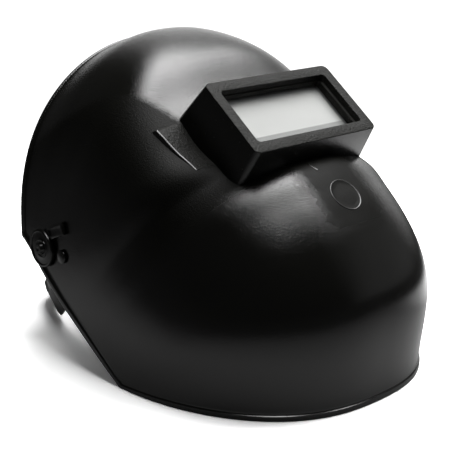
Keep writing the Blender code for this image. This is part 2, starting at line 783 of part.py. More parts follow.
def pierce(target, name, matrix, radius, parent):
    """A hole through the target along the matrix's z axis."""
    reach = 2 * CUT_PAST
    cutter = turned_pin(name, matrix, ((radius, -reach), (radius, reach)), parent)
    combine(target, cutter, "DIFFERENCE")


def add_crown_strap(headband, parent, finishes):
    """The strap over the head, inside the band, with a stud through the band at each end."""
    inner = -PART_GAP
    steps = 28
    foot = BAND_TALL / 2
    left = band_turn_at(STRAP_BACK)
    width = band_line(band_turn_at(STRAP_BACK - STRAP_WIDE / 2)).x
    rings = []
    path = [(width, -foot + STRAP_TAIL - BAND_BELOW)]
    for step in range(steps + 1):
        angle = math.pi * step / steps
        path.append((width * math.cos(angle), foot - BAND_BELOW + STRAP_HIGH * math.sin(angle)))
    path.append((-width, -foot + STRAP_TAIL - BAND_BELOW))
    for index, (x, z) in enumerate(path):
        before = path[max(index - 1, 0)]
        after = path[min(index + 1, len(path) - 1)]
        run = Vector((after[0] - before[0], 0.0, after[1] - before[1])).normalized()
        out = Vector((run.z, 0.0, -run.x))
        outer = Vector((x, STRAP_BACK, z)) + inner * out
        inside = outer - STRAP_THICK * out
        half = Vector((0.0, STRAP_WIDE / 2, 0.0))
        rings.append([inside - half, outer - half, outer + half, inside + half])
    strap = strip_solid("crown_strap", rings, False, parent, finishes["harness"])
    for turn, name in ((math.pi - left, "right"), (left, "left")):
        axes = stud_matrix(turn, 0.0)
        profile = ((STUD_RADIUS, -STRAP_THICK / 2 - PART_GAP), (STUD_RADIUS, BAND_THICK + STUD_PAST))
        combine(strap, turned_pin(f"strap_stud_{name}", axes, profile, parent), "UNION")
        pierce(headband, f"strap_hole_{name}", axes, STUD_RADIUS + PART_GAP, parent)


def add_side_arm(headband, side, name, arm_inside, parent, finishes):
    """The arm from the headband out to the pivot, and the rivet that holds it to the band."""
    thick = ARM_THICK - 2 * ARM_DISC_PROUD
    strip_inside = arm_inside + ARM_DISC_PROUD
    near_turn = band_turn_at(-ARM_REACH)
    far_turn = band_turn_at(-ARM_REACH + ARM_FLAT)
    steps = 4
    line = []
    for step in range(steps + 1):
        turn = near_turn + (far_turn - near_turn) * step / steps
        point = band_line(turn, BAND_THICK + PART_GAP)
        line.append((point.x, point.y, point.z))
    bend = 8
    start = Vector(line[-1])
    end = Vector((strip_inside, -BOLT_HEAD_RADIUS - ARM_THICK / 2, 0.0))
    for step in range(1, bend + 1):
        part = step / bend
        ease = part * part * (3 - 2 * part)
        line.append(
            (
                start.x + (end.x - start.x) * ease,
                start.y + (end.y - start.y) * part,
                start.z + (end.z - start.z) * ease,
            )
        )
    line.append((strip_inside, 0.0, 0.0))
    rings = []
    for index, point in enumerate(line):
        before = Vector(line[max(index - 1, 0)])
        after = Vector(line[min(index + 1, len(line) - 1)])
        run = after - before
        out = Vector((run.y, -run.x, 0.0)).normalized()
        here = Vector(point)
        half = Vector((0.0, 0.0, ARM_WIDE / 2))
        ring = [here - half, here + out * thick - half, here + out * thick + half, here + half]
        rings.append([Vector((side * corner.x, corner.y, corner.z)) for corner in ring])
    arm = strip_solid(f"side_arm_{name}", rings, False, parent, finishes["harness"])
    level = seat_matrix(Vector(), Vector((side, 0.0, 0.0)), Vector((0.0, 1.0, 0.0)))
    disc = turned_pin(
        f"arm_disc_{name}",
        level,
        ((ARM_DISC_RADIUS, arm_inside), (ARM_DISC_RADIUS, arm_inside + ARM_THICK)),
        parent,
    )
    combine(arm, disc, "UNION")
    loop = circle(BOLT_RADIUS + PART_GAP)
    points, faces = stack(((loop, arm_inside - CUT_PAST), (loop, arm_inside + ARM_THICK + CUT_PAST)))
    combine(arm, make_object(f"arm_bore_{name}", points, faces, parent, matrix=level), "DIFFERENCE")
    middle = (near_turn + far_turn) / 2
    turn = middle if side > 0 else math.pi - middle
    axes = stud_matrix(turn, 0.0)
    pierce(headband, f"rivet_hole_band_{name}", axes, STUD_RADIUS + PART_GAP, parent)
    pierce(arm, f"rivet_hole_arm_{name}", axes, STUD_RADIUS + PART_GAP, parent)
    inner_face = -PART_GAP
    outer_face = BAND_THICK + PART_GAP + thick + PART_GAP
    profile = (
        (RIVET_HEAD_RADIUS, inner_face - RIVET_HEAD_THICK),
        (RIVET_HEAD_RADIUS, inner_face),
        (STUD_RADIUS, inner_face),
        (STUD_RADIUS, outer_face),
        (RIVET_HEAD_RADIUS, outer_face),
        (RIVET_HEAD_RADIUS, outer_face + RIVET_HEAD_THICK),
    )
    turned_pin(f"arm_rivet_{name}", axes, profile, parent, finishes["fitting"])


def add_band_clasp(headband, parent, finishes):
    """The plain clasp at the nape, with two studs through the band."""
    span = CLASP_LONG / 2 / BAND_HALF_WIDTH
    steps = 8
    turns = [math.pi / 2 + span * (2 * step / steps - 1) for step in range(steps + 1)]
    inner = BAND_THICK + PART_GAP
    rings = [band_ring(turn, inner, inner + CLASP_THICK, CLASP_EDGE) for turn in turns]
    clasp = strip_solid("band_clasp", rings, False, parent, finishes["fitting"])
    for way, name in ((-1, "right"), (1, "left")):
        turn = math.pi / 2 - way * CLASP_STUD_SPREAD / BAND_HALF_WIDTH
        axes = stud_matrix(turn, 0.0)
        profile = ((STUD_RADIUS, -STUD_PAST), (STUD_RADIUS, inner + CLASP_THICK / 2))
        combine(clasp, turned_pin(f"clasp_stud_{name}", axes, profile, parent), "UNION")
        pierce(headband, f"clasp_hole_{name}", axes, STUD_RADIUS + PART_GAP, parent)


def make_empty(name, parent, matrix=None):
    empty = bpy.data.objects.new(name, None)
    bpy.context.collection.objects.link(empty)
    empty.parent = parent
    if matrix is not None:
        empty.matrix_local = matrix
    return empty


def centre_footprint(frame):
    """Moves the assembly so that the middle of its box is over the origin."""
    bpy.context.view_layer.update()
    graph = bpy.context.evaluated_depsgraph_get()
    depths = []
    for obj in bpy.data.objects:
        if obj.type == "MESH" and not obj.hide_render:
            solid = obj.evaluated_get(graph)
            depths += [(solid.matrix_world @ Vector(corner)).y for corner in solid.bound_box]
    frame.location.y = -(min(depths) + max(depths)) / 2


def main():
    clear_scene()
    finishes = {
        "shell": make_material("shell_plastic", (0.012, 0.012, 0.012), 0.22),
        "clear": make_material("clear_lens", (0.9, 0.92, 0.92), 0.05, alpha=0.3),
        "card": make_material("white_card", (0.82, 0.82, 0.80), 0.6),
        "dark_glass": make_material("filter_glass", (0.01, 0.03, 0.02), 0.05),
        "fitting": make_material("fitting_plastic", (0.02, 0.02, 0.02), 0.5),
        "knob": make_material("knob_plastic", (0.015, 0.015, 0.015), 0.3),
        "harness": make_material("harness_plastic", (0.025, 0.025, 0.025), 0.55),
    }
    frame = make_empty("mask_frame", None)
    pivots = Matrix.Translation((0.0, PIVOT_BACK, PIVOT_UP))
    parents = {
        "frame": frame,
        "shell": make_empty("shell_frame", frame),
        "harness": make_empty("harness_frame", frame, pivots @ Matrix.Rotation(-harness_lean(), 4, "X")),
    }
    form = ShellForm()
    tree = outer_tree(form)
    shell = shell_body(form, parents["shell"], finishes["shell"])
    add_housing(shell, parents["shell"])
    add_round_flat(shell, form, tree, parents["shell"])
    add_plates(parents["shell"], finishes)
    headband = add_headband(parents["harness"], finishes)
    add_crown_strap(headband, parents["harness"], finishes)
    for side, name in ((-1, "right"), (1, "left")):
        arm_inside = add_pivot(shell, tree, side, name, parents, finishes)
        add_stop_and_plug(shell, tree, side, name, parents, finishes)
        add_side_arm(headband, side, name, arm_inside, parents["harness"], finishes)
    add_band_clasp(headband, parents["harness"], finishes)
    centre_footprint(frame)


main()
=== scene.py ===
"""Studio scene of a black moulded welding mask standing on its chin rim.

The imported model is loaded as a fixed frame. The moulded shell, the lens housing, the pivot
fittings and the head harness are then built and finished over it, the window's plates are
finished where they are, and the floor, lights and camera are set for a view from the front right.
"""

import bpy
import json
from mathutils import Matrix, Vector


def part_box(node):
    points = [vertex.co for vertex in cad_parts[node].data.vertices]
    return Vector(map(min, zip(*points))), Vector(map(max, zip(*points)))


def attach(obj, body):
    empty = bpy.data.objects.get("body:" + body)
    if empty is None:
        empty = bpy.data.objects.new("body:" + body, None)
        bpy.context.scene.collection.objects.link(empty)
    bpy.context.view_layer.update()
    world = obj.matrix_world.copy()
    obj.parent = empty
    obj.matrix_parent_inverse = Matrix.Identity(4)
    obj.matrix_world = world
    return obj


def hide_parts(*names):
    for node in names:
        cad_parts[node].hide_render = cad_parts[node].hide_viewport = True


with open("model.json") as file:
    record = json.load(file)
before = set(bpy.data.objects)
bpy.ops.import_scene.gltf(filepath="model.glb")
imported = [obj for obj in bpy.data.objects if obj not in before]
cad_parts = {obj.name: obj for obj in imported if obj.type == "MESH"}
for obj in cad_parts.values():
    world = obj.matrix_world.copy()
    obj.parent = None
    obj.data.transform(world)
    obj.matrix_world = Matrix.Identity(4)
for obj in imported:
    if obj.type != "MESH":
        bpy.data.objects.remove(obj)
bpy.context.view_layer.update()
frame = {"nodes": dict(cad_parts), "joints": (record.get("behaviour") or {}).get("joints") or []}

import json
import logging
import math
from collections.abc import Callable
from dataclasses import dataclass
from enum import Enum

import bpy
import numpy as np
from mathutils import Matrix, Vector

Piece = bpy.types.Object
Triple = tuple[float, float, float]

LOG = logging.getLogger("welding_mask")
PIVOT_Y = frame["joints"][0]["pos_m"][1]
PIVOT_Z = frame["joints"][0]["pos_m"][2]
SHIFT_Y = PIVOT_Y - 0.140
PLASTIC_IOR = 1.5
DULL_ROUGHNESS = 0.48
DULL_SHEEN = 0.08
GRAIN_HEIGHTS = (0.08, 0.13, 0.25, 1.0)
WORN_ROUGHNESS = 0.07
DUST_ROUGHNESS = 0.25
DUST_COVER = 0.35
DUST_GAIN = 2.2
DUST_LIFT = 0.012
FRAY_WIDTH = 0.016

# Where dust and wear start and are full in their noise
DUST = (0.70, 0.78)
WEAR = (0.48, 0.72)

# Noises by scale, detail and roughness
WAVES = (38.0, 1.0, 0.4)
PATCHES = (55.0, 4.0, 0.65)
SPECKS = (420.0, 2.0, 0.7)
FRAY = (260.0, 4.0, 0.8)
FIBRE = (900.0, 2.0, 0.6)

# Edges of the dull zones beside and below the box. Each edge is measured on a mix of the place
# along the face, the place across it and the fray, and fades from outside to inside.
DULL_ZONES = (
    (
        (1.0, -1.82, 1.0, -0.070, -0.084),
        (1.0, 0.0, 0.0, -0.046, -0.034),
        (0.0, 1.0, 0.0, 0.114, 0.098),
        (0.0, 1.0, 0.0, 0.050, 0.060),
    ),
    (
        (0.0, 1.0, 1.0, 0.034, 0.020),
        (1.0, 0.0, 0.0, -0.104, -0.086),
        (1.0, 0.0, 0.0, -0.020, -0.030),
    ),
)


# Shader nodes


class Wire:
    """A shader output that takes part in Python arithmetic."""

    def __init__(self, tree: bpy.types.NodeTree, socket: bpy.types.NodeSocket) -> None:
        """Keeps the tree and one of its output sockets.

        Args:
            tree: Node tree that the socket belongs to.
            socket: Output socket to wrap.
        """
        self.tree = tree
        self.socket = socket

    def _math(self, operation: str, first: object, second: object) -> "Wire":
        """Adds one Math node.

        Args:
            operation: Name of the Math node's operation.
            first: Wire or number for the first input.
            second: Wire or number for the second input.

        Returns:
            The node's result.
        """
        node = self.tree.nodes.new("ShaderNodeMath")
        node.operation = operation
        for index, value in enumerate((first, second)):
            if isinstance(value, Wire):
                self.tree.links.new(value.socket, node.inputs[index])
            else:
                node.inputs[index].default_value = float(value)
        return Wire(self.tree, node.outputs[0])

    def __add__(self, other: object) -> "Wire":
        """Sum."""
        return self._math("ADD", self, other)

    def __radd__(self, other: object) -> "Wire":
        """Sum with the number first."""
        return self._math("ADD", other, self)

    def __sub__(self, other: object) -> "Wire":
        """Difference."""
        return self._math("SUBTRACT", self, other)

    def __rsub__(self, other: object) -> "Wire":
        """Difference with the number first."""
        return self._math("SUBTRACT", other, self)

    def __mul__(self, other: object) -> "Wire":
        """Product."""
        return self._math("MULTIPLY", self, other)

    def __pow__(self, other: object) -> "Wire":
        """Power."""
        return self._math("POWER", self, other)


class Graph:
    """A material's or world's node tree, cleared, with one method that adds any node."""

    def __init__(self, owner: bpy.types.ID) -> None:
        """Clears the owner's nodes.

        Args:
            owner: Material or world with nodes.
        """
        owner.use_nodes = True
        self.tree = owner.node_tree
        self.tree.nodes.clear()

    def add(self, kind: str, settings: dict | None = None, out: int | str = 0, **sockets: object) -> Wire:
        """Adds a node, sets it up and links it.

        Args:
            kind: Node type without its ShaderNode prefix.
            settings: Node settings, such as an operation.
            out: Output to return, by index or name.
            sockets: Values or wires by socket name, with underscores for spaces.

        Returns:
            The chosen output, or an empty wire where the node has none.
        """
        node = self.tree.nodes.new(f"ShaderNode{kind}")
        for name, value in (settings or {}).items():
            setattr(node, name, value)
        for name, value in sockets.items():
            socket = self._socket(node, name)
            if isinstance(value, Wire):
                self.tree.links.new(value.socket, socket)
            else:
                socket.default_value = value
        return Wire(self.tree, node.outputs[out] if len(node.outputs) else None)

    @staticmethod
    def _socket(node: bpy.types.Node, name: str) -> bpy.types.NodeSocket:
        """Finds an input by its name, or by place for a name such as in_1."""
        if name.startswith("in_"):
            return node.inputs[int(name[3:])]
        return node.inputs[name.replace("_", " ")]

    def place(self) -> Wire:
        """Object coordinates, in metres."""
        return self.add("TexCoord", out="Object")

    def axis(self, place: Wire, name: str) -> Wire:
        """One axis of a place."""
        return self.add("SeparateXYZ", out="XYZ".index(name), Vector=place)

    def noise(self, place: Wire, scale: float, detail: float, rough: float) -> Wire:
        """Noise from 0 to 1, with features 1 / scale metres across."""
        return self.add("TexNoise", Vector=place, Scale=scale, Detail=detail, Roughness=rough)

    def fade(self, value: Wire, start: float, end: float, low: float = 0.0, high: float = 1.0) -> Wire:
        """The value's way from start to end, as a way from low to high that stops at both."""
        return self.add(
            "MapRange", Value=value, From_Min=start, From_Max=end, To_Min=low, To_Max=high
        )

    def mix(self, factor: object, first: object, second: object) -> Wire:
        """A blend of two colours."""
        return self.add("Mix", {"data_type": "RGBA"}, out=2, in_0=factor, in_6=first, in_7=second)

    def bump(self, height: Wire, depth: float, below: Wire | None = None) -> Wire:
        """A bump of this depth in metres, over another where one is given."""
        extra = {"Normal": below} if below else {}
        return self.add("Bump", Height=height, Distance=depth, Strength=1.0, **extra)


# Finishes


class Finish:
    """A named surface finish that builds its material once."""

    name: str
    slot: str

    def material(self) -> bpy.types.Material:
        """The finish's material, built on first use."""
        found = bpy.data.materials.get(self.name)
        if found is None:
            found = bpy.data.materials.new(self.name)
            self.wire(Graph(found))
        return found

    def wire(self, graph: Graph) -> None:
        """Fills the material's node tree.

        Args:
            graph: Empty node tree of the material.
        """
        raise NotImplementedError

    def dress(self, piece: Piece) -> None:
        """Puts the finish on a piece.

        Args:
            piece: Object to dress.
        """
        piece.data.materials.clear()
        piece.data.materials.append(self.material())


@dataclass(frozen=True)
class MouldedPlastic(Finish):
    """Injection-moulded plastic: a fine grain, slow waviness, and faint scuffs and dust.

    Where dull_by_box is set, the grain grows over the grain heights, and two zones by the window's
    box are duller.
    """

    name: str
    slot: str
    colour: Triple
    gloss: float
    grain_size: float
    grain_depth: float
    wave_depth: float
    scuffs: float = 0.5
    sheen: float = 0.5
    dull_by_box: bool = False

    def wire(self, graph: Graph) -> None:
        """Grain and waves go to the bump, scuffs and dust to the roughness and colour.

        Args:
            graph: Empty node tree of the material.
        """
        place = graph.place()
        grain = graph.noise(place, 1 / self.grain_size, 3.0, 0.6)
        dust = graph.fade(graph.noise(place, *SPECKS), *DUST) * self.scuffs
        worn = graph.fade(graph.noise(place, *PATCHES), *WEAR) * self.scuffs
        rough = self.gloss + worn * WORN_ROUGHNESS + dust * DUST_ROUGHNESS
        pale = tuple(DUST_GAIN * part + DUST_LIFT for part in self.colour)
        colour = graph.mix(dust * DUST_COVER, (*self.colour, 1.0), (*pale, 1.0))
        if self.dull_by_box:
            grain = grain * graph.fade(graph.axis(place, "Z"), *GRAIN_HEIGHTS)
        wavy = graph.bump(graph.noise(place, *WAVES), self.wave_depth)
        normal = graph.bump(grain, self.grain_depth, wavy)
        shared = {"Base_Color": colour, "Normal": normal, "IOR": PLASTIC_IOR}
        shader = graph.add(
            "BsdfPrincipled", Roughness=rough, Specular_IOR_Level=self.sheen, **shared
        )
        if self.dull_by_box:
            dull = graph.add(
                "BsdfPrincipled", Roughness=DULL_ROUGHNESS, Specular_IOR_Level=DULL_SHEEN, **shared
            )
            zone = self._box_zone(graph, place)
            shader = graph.add("MixShader", in_0=zone, in_1=shader, in_2=dull)
        graph.add("OutputMaterial", Surface=shader)

    @staticmethod
    def _box_zone(graph: Graph, place: Wire) -> Wire:
        """The dull zones beside and below the window's box, 1 inside and 0 outside.

        Args:
            graph: Node tree of the material.
            place: Object coordinates.

        Returns:
            The zone's share.
        """
        lean = WindowPlace.lean
        across = graph.add("Math", {"operation": "ABSOLUTE"}, in_0=graph.axis(place, "X"))
        back = graph.axis(place, "Y") - SHIFT_Y
        rise = graph.axis(place, "Z") - WindowPlace.height
        along = back * math.cos(lean) + rise * math.sin(lean)
        fray = graph.noise(place, *FRAY) * FRAY_WIDTH - FRAY_WIDTH / 2
        total = 0.0
        for edges in DULL_ZONES:
            zone = 1.0
            for up, out, rough, outside, inside in edges:
                value = along * up + across * out + fray * rough
                zone = graph.fade(value, outside, inside) * zone
            total = zone + total
        return graph.fade(total, 0.0, 1.0)


@dataclass(frozen=True)
class PlainCard(Finish):
    """A bare card with a faint fibre and a darker strip along its lower edge."""

    name: str
    slot: str
    colour: Triple
    strip: float
    strip_fade: float = 0.0005
    faded: float = 0.8
    strip_tone: float = 0.42

    def wire(self, graph: Graph) -> None:
        """A faint fibre in the colour and a slight bump.

        Args:
            graph: Empty node tree of the material.
        """
        place = graph.place()
        fibre = graph.noise(place, *FIBRE)
        height = graph.axis(place, "Z") + frame["nodes"]["window_card"].matrix_world.translation.z
        # The card's colour is darker in a strip along its lower edge
        low = graph.fade(height, self.strip, self.strip - self.strip_fade)
        faded = tuple(self.faded * part for part in self.colour)
        strip_tone = tuple(self.strip_tone * part for part in self.colour)
        shade = graph.mix(fibre * 0.3, (*self.colour, 1.0), (*faded, 1.0))
        colour = graph.mix(low, shade, (*strip_tone, 1.0))
        shader = graph.add(
            "BsdfPrincipled",
            Base_Color=colour,
            Roughness=0.7,
            Specular_IOR_Level=0.1,
            Normal=graph.bump(fibre, 0.00001),
        )
        graph.add("OutputMaterial", Surface=shader)


@dataclass(frozen=True)
class Plate(Finish):
    """A polished plate, clear or dark, with faint smears."""

    name: str
    slot: str
    colour: Triple
    gloss: float
    sheen: float
    cover: float
    smear_scale: float

    def wire(self, graph: Graph) -> None:
        """Smears go to the roughness, and the cover says how much it hides.

        Args:
            graph: Empty node tree of the material.
        """
        smears = graph.noise(graph.place(), self.smear_scale, 3.0, 0.6)
        shader = graph.add(
            "BsdfPrincipled",
            Base_Color=(*self.colour, 1.0),
            Roughness=self.gloss + smears * 0.06,
            Specular_IOR_Level=self.sheen,
            Alpha=self.cover,
        )
        graph.add("OutputMaterial", Surface=shader)


class Finishes(Enum):
    """The finishes of this mask."""

    # Plastics by name, slot and colour, then gloss, grain size, grain depth, wave depth, scuffs
    # and sheen
    SHELL = MouldedPlastic(
        "glossy_black_shell", "shell_plastic", (0.0026, 0.0026, 0.0020),
        0.16, 0.0010, 0.00026, 0.0002, dull_by_box=True,
    )
    BOX = MouldedPlastic(
        "glossy_black_box", "shell_plastic", (0.0026, 0.0026, 0.0020),
        0.24, 0.0010, 0.00012, 0.0002,
    )
    FRAME = MouldedPlastic(
        "matt_black_frame", "shell_plastic", (0.006, 0.006, 0.005),
        0.42, 0.0016, 0.00090, 0.0002, 1.0, 0.12,
    )
    FITTING = MouldedPlastic(
        "satin_black_fitting", "fitting_plastic", (0.014, 0.014, 0.013),
        0.42, 0.0007, 0.00005, 0.0001,
    )
    KNOB = MouldedPlastic(
        "half_gloss_knob", "knob_plastic", (0.003, 0.003, 0.0025),
        0.20, 0.0009, 0.00004, 0.0001, 0.5, 0.4,
    )
    HARNESS = MouldedPlastic(
        "matt_black_harness", "harness_plastic", (0.016, 0.016, 0.015),
        0.48, 0.0008, 0.00008, 0.0002,
    )
    CARD = PlainCard("bare_white_card", "white_card", (0.31, 0.31, 0.30), 0.1765)
    # Plates by name, slot and colour, then gloss, sheen, cover and the scale of their smears
    LENS = Plate("clear_cover_lens", "clear_lens", (0.9, 0.93, 0.93), 0.24, 0.05, 0.06, 90.0)
    GLASS = Plate(
        "dark_filter_glass", "filter_glass", (0.004, 0.010, 0.007), 0.03, 0.5, 1.0, 70.0
    )


# Modelling helpers


def select_only(piece: Piece) -> None:
    """Leaves just this object selected and active.

    Args:
        piece: Object to select.
    """
    bpy.ops.object.select_all(action="DESELECT")
    piece.select_set(True)
    bpy.context.view_layer.objects.active = piece


def apply_all(piece: Piece) -> None:
    """Applies the piece's modifiers and then its place.

    Args:
        piece: Object to finish.
    """
    select_only(piece)
    for modifier in list(piece.modifiers):
        bpy.ops.object.modifier_apply(modifier=modifier.name)
    bpy.ops.object.transform_apply(location=True, rotation=True, scale=True)


def smooth(piece: Piece, degrees: float) -> None:
    """Shades the piece smooth, but for edges sharper than the angle.

    Args:
        piece: Object to shade.
        degrees: Sharpest edge that is still shaded smooth.
    """
    select_only(piece)
    bpy.ops.object.shade_smooth_by_angle(angle=math.radians(degrees))


def rounded_loop(wide: float, tall: float, corner: float, steps: int) -> list[Vector]:
    """Points round a rectangle with round corners, anticlockwise from the right.

    Args:
        wide: Width.
        tall: Height.
        corner: Corner radius.
        steps: Faces in each corner.

    Returns:
        The points in the plane z = 0.
    """
    points = []
    for quarter in range(4):
        for step in range(steps + 1):
            turn = math.radians(90 * (quarter + step / steps))
            across = (wide / 2 - corner) * (1 if quarter in (0, 3) else -1)
            up = (tall / 2 - corner) * (1 if quarter < 2 else -1)
            corner_point = (across + corner * math.cos(turn), up + corner * math.sin(turn), 0.0)
            points.append(Vector(corner_point))
    return points


def draw_loops(name: str, loops: tuple, steps: int = 8, closed: bool = True) -> Piece:
    """Draws a solid out of one ring, extruded from loop to loop.

    Args:
        name: Object name.
        loops: Width, height, corner radius and z of each loop.
        steps: Faces in each corner.
        closed: Whether the last loop is joined to the first, or both ends are filled.

    Returns:
        The solid, in its own axes.
    """
    count = 4 * (steps + 1)
    bpy.ops.object.select_all(action="DESELECT")
    bpy.ops.mesh.primitive_circle_add(vertices=count, radius=0.05, fill_type="NOTHING")
    piece = bpy.context.object
    piece.name = name
    for index, (wide, tall, corner, level) in enumerate(loops):
        if index:
            bpy.ops.object.mode_set(mode="EDIT")
            bpy.ops.mesh.extrude_region_move(TRANSFORM_OT_translate={"value": (0.0, 0.0, 0.01)})
            bpy.ops.object.mode_set(mode="OBJECT")
        points = rounded_loop(wide, tall, corner, steps)
        for vertex, point in zip(list(piece.data.vertices)[-count:], points):
            vertex.co = point + Vector((0.0, 0.0, level))
    bpy.ops.object.mode_set(mode="EDIT")
    last = count * (len(loops) - 1)
    if closed:
        pick_points(piece, lambda index: index < count or index >= last)
        bpy.ops.mesh.bridge_edge_loops()
    else:
        for first in (0, last):
            pick_points(piece, lambda index: first <= index < first + count)
            bpy.ops.mesh.edge_face_add()
    bpy.ops.mesh.select_all(action="SELECT")
    bpy.ops.mesh.normals_make_consistent(inside=False)
    bpy.ops.object.mode_set(mode="OBJECT")
    return piece


def pick_points(piece: Piece, test: Callable[[int], bool]) -> None:
    """In edit mode, selects only the points whose number passes a test.

    Args:
        piece: Object in edit mode.
        test: Function of a point's number.
    """
    bpy.ops.mesh.select_mode(type="VERT")
    bpy.ops.mesh.select_all(action="DESELECT")
    bpy.ops.object.mode_set(mode="OBJECT")
    for vertex in piece.data.vertices:
        vertex.select = bool(test(vertex.index))
    bpy.ops.object.mode_set(mode="EDIT")


def cut(piece: Piece, tool: Piece) -> None:
    """Cuts a tool's shape out of a piece and removes the tool.

    Args:
        piece: Object to cut.
        tool: Closed object to cut with.
    """
    modifier = piece.modifiers.new("cut", "BOOLEAN")
    modifier.operation = "DIFFERENCE"
    modifier.solver = "EXACT"
    modifier.object = tool
    select_only(piece)
    bpy.ops.object.modifier_apply(modifier=modifier.name)
    bpy.data.objects.remove(tool, do_unlink=True)


def soften(piece: Piece, width: float, steps: int = 3, degrees: float = 40.0) -> None:
    """Adds and applies a bevel on the piece's sharp edges.

    Args:
        piece: Object to soften.
        width: Width of the bevel.
        steps: Faces across it.
        degrees: Angle over which an edge is softened.
    """
    modifier = piece.modifiers.new("soften", "BEVEL")
    modifier.width = width
    modifier.segments = steps
    modifier.limit_method = "ANGLE"
    modifier.angle_limit = math.radians(degrees)
    select_only(piece)
    bpy.ops.object.modifier_apply(modifier=modifier.name)


def soft_copy(node: str, width: float, steps: int) -> Piece:
    """A copy of a CAD node, merged, with its flat faces joined and its sharp edges rounded.

    Args:
        node: CAD node to copy.
        width: Width of the rounding.
        steps: Faces across it.

    Returns:
        The copy, at the origin.
    """
    source = frame["nodes"][node]
    piece = source.copy()
    piece.data = source.data.copy()
    piece.name = f"soft_{node}"
    bpy.context.collection.objects.link(piece)
    piece.hide_render = False
    piece.hide_viewport = False
    select_only(piece)
    bpy.ops.object.mode_set(mode="EDIT")
    bpy.ops.mesh.select_all(action="SELECT")
    bpy.ops.mesh.remove_doubles(threshold=0.00001)
    bpy.ops.mesh.dissolve_limited(angle_limit=math.radians(1.0))
    bpy.ops.object.mode_set(mode="OBJECT")
    soften(piece, width, steps, 38.0)
    smooth(piece, 40.0)
    return piece


def turned(name: str, profile: tuple, steps: int = 24) -> Piece:
    """Turns a closed profile round z.

    Args:
        name: Object name.
        profile: Radius and z of each ring, both ends filled.
        steps: Faces in a quarter turn.

    Returns:
        The turned solid, in its own axes.
    """
    loops = tuple((2 * radius, 2 * radius, radius, level) for radius, level in profile)
    piece = draw_loops(name, loops, steps, closed=False)
    select_only(piece)
    bpy.ops.object.mode_set(mode="EDIT")
    bpy.ops.mesh.select_all(action="SELECT")
    bpy.ops.mesh.remove_doubles(threshold=0.000002)
    bpy.ops.mesh.normals_make_consistent(inside=False)
    bpy.ops.object.mode_set(mode="OBJECT")
    return piece


def lay_on(piece: Piece, ground: Piece, axes: Matrix) -> None:
    """Lays a flat relief on a surface: each point keeps its height over what lies under it.

    Args:
        piece: Relief in its own axes, z outwards.
        ground: Object that it lies on, at the origin.
        axes: Where the relief's axes stand.
    """
    clear = 0.03
    out = (axes.to_3x3() @ Vector((0.0, 0.0, 1.0))).normalized()
    for vertex in piece.data.vertices:
        start = axes @ Vector((vertex.co.x, vertex.co.y, clear))
        met, place, _, _ = ground.ray_cast(start, -out)
        vertex.co = (place if met else axes @ vertex.co) + out * vertex.co.z


def hand_over(piece: Piece, body: str, finish: Finishes, nodes: tuple[str, ...] = ()) -> Piece:
    """Dresses a finished piece and gives it to its body.

    Args:
        piece: Finished object, at the origin.
        body: CAD body that it moves with.
        finish: Its surface finish.
        nodes: CAD nodes that it stands for.

    Returns:
        The same object.
    """
    finish.value.dress(piece)
    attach(piece, body)
    if nodes:
        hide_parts(*nodes)
    LOG.info("%s on %s: %d faces", piece.name, body, len(piece.data.polygons))
    return piece


# The moulded shell


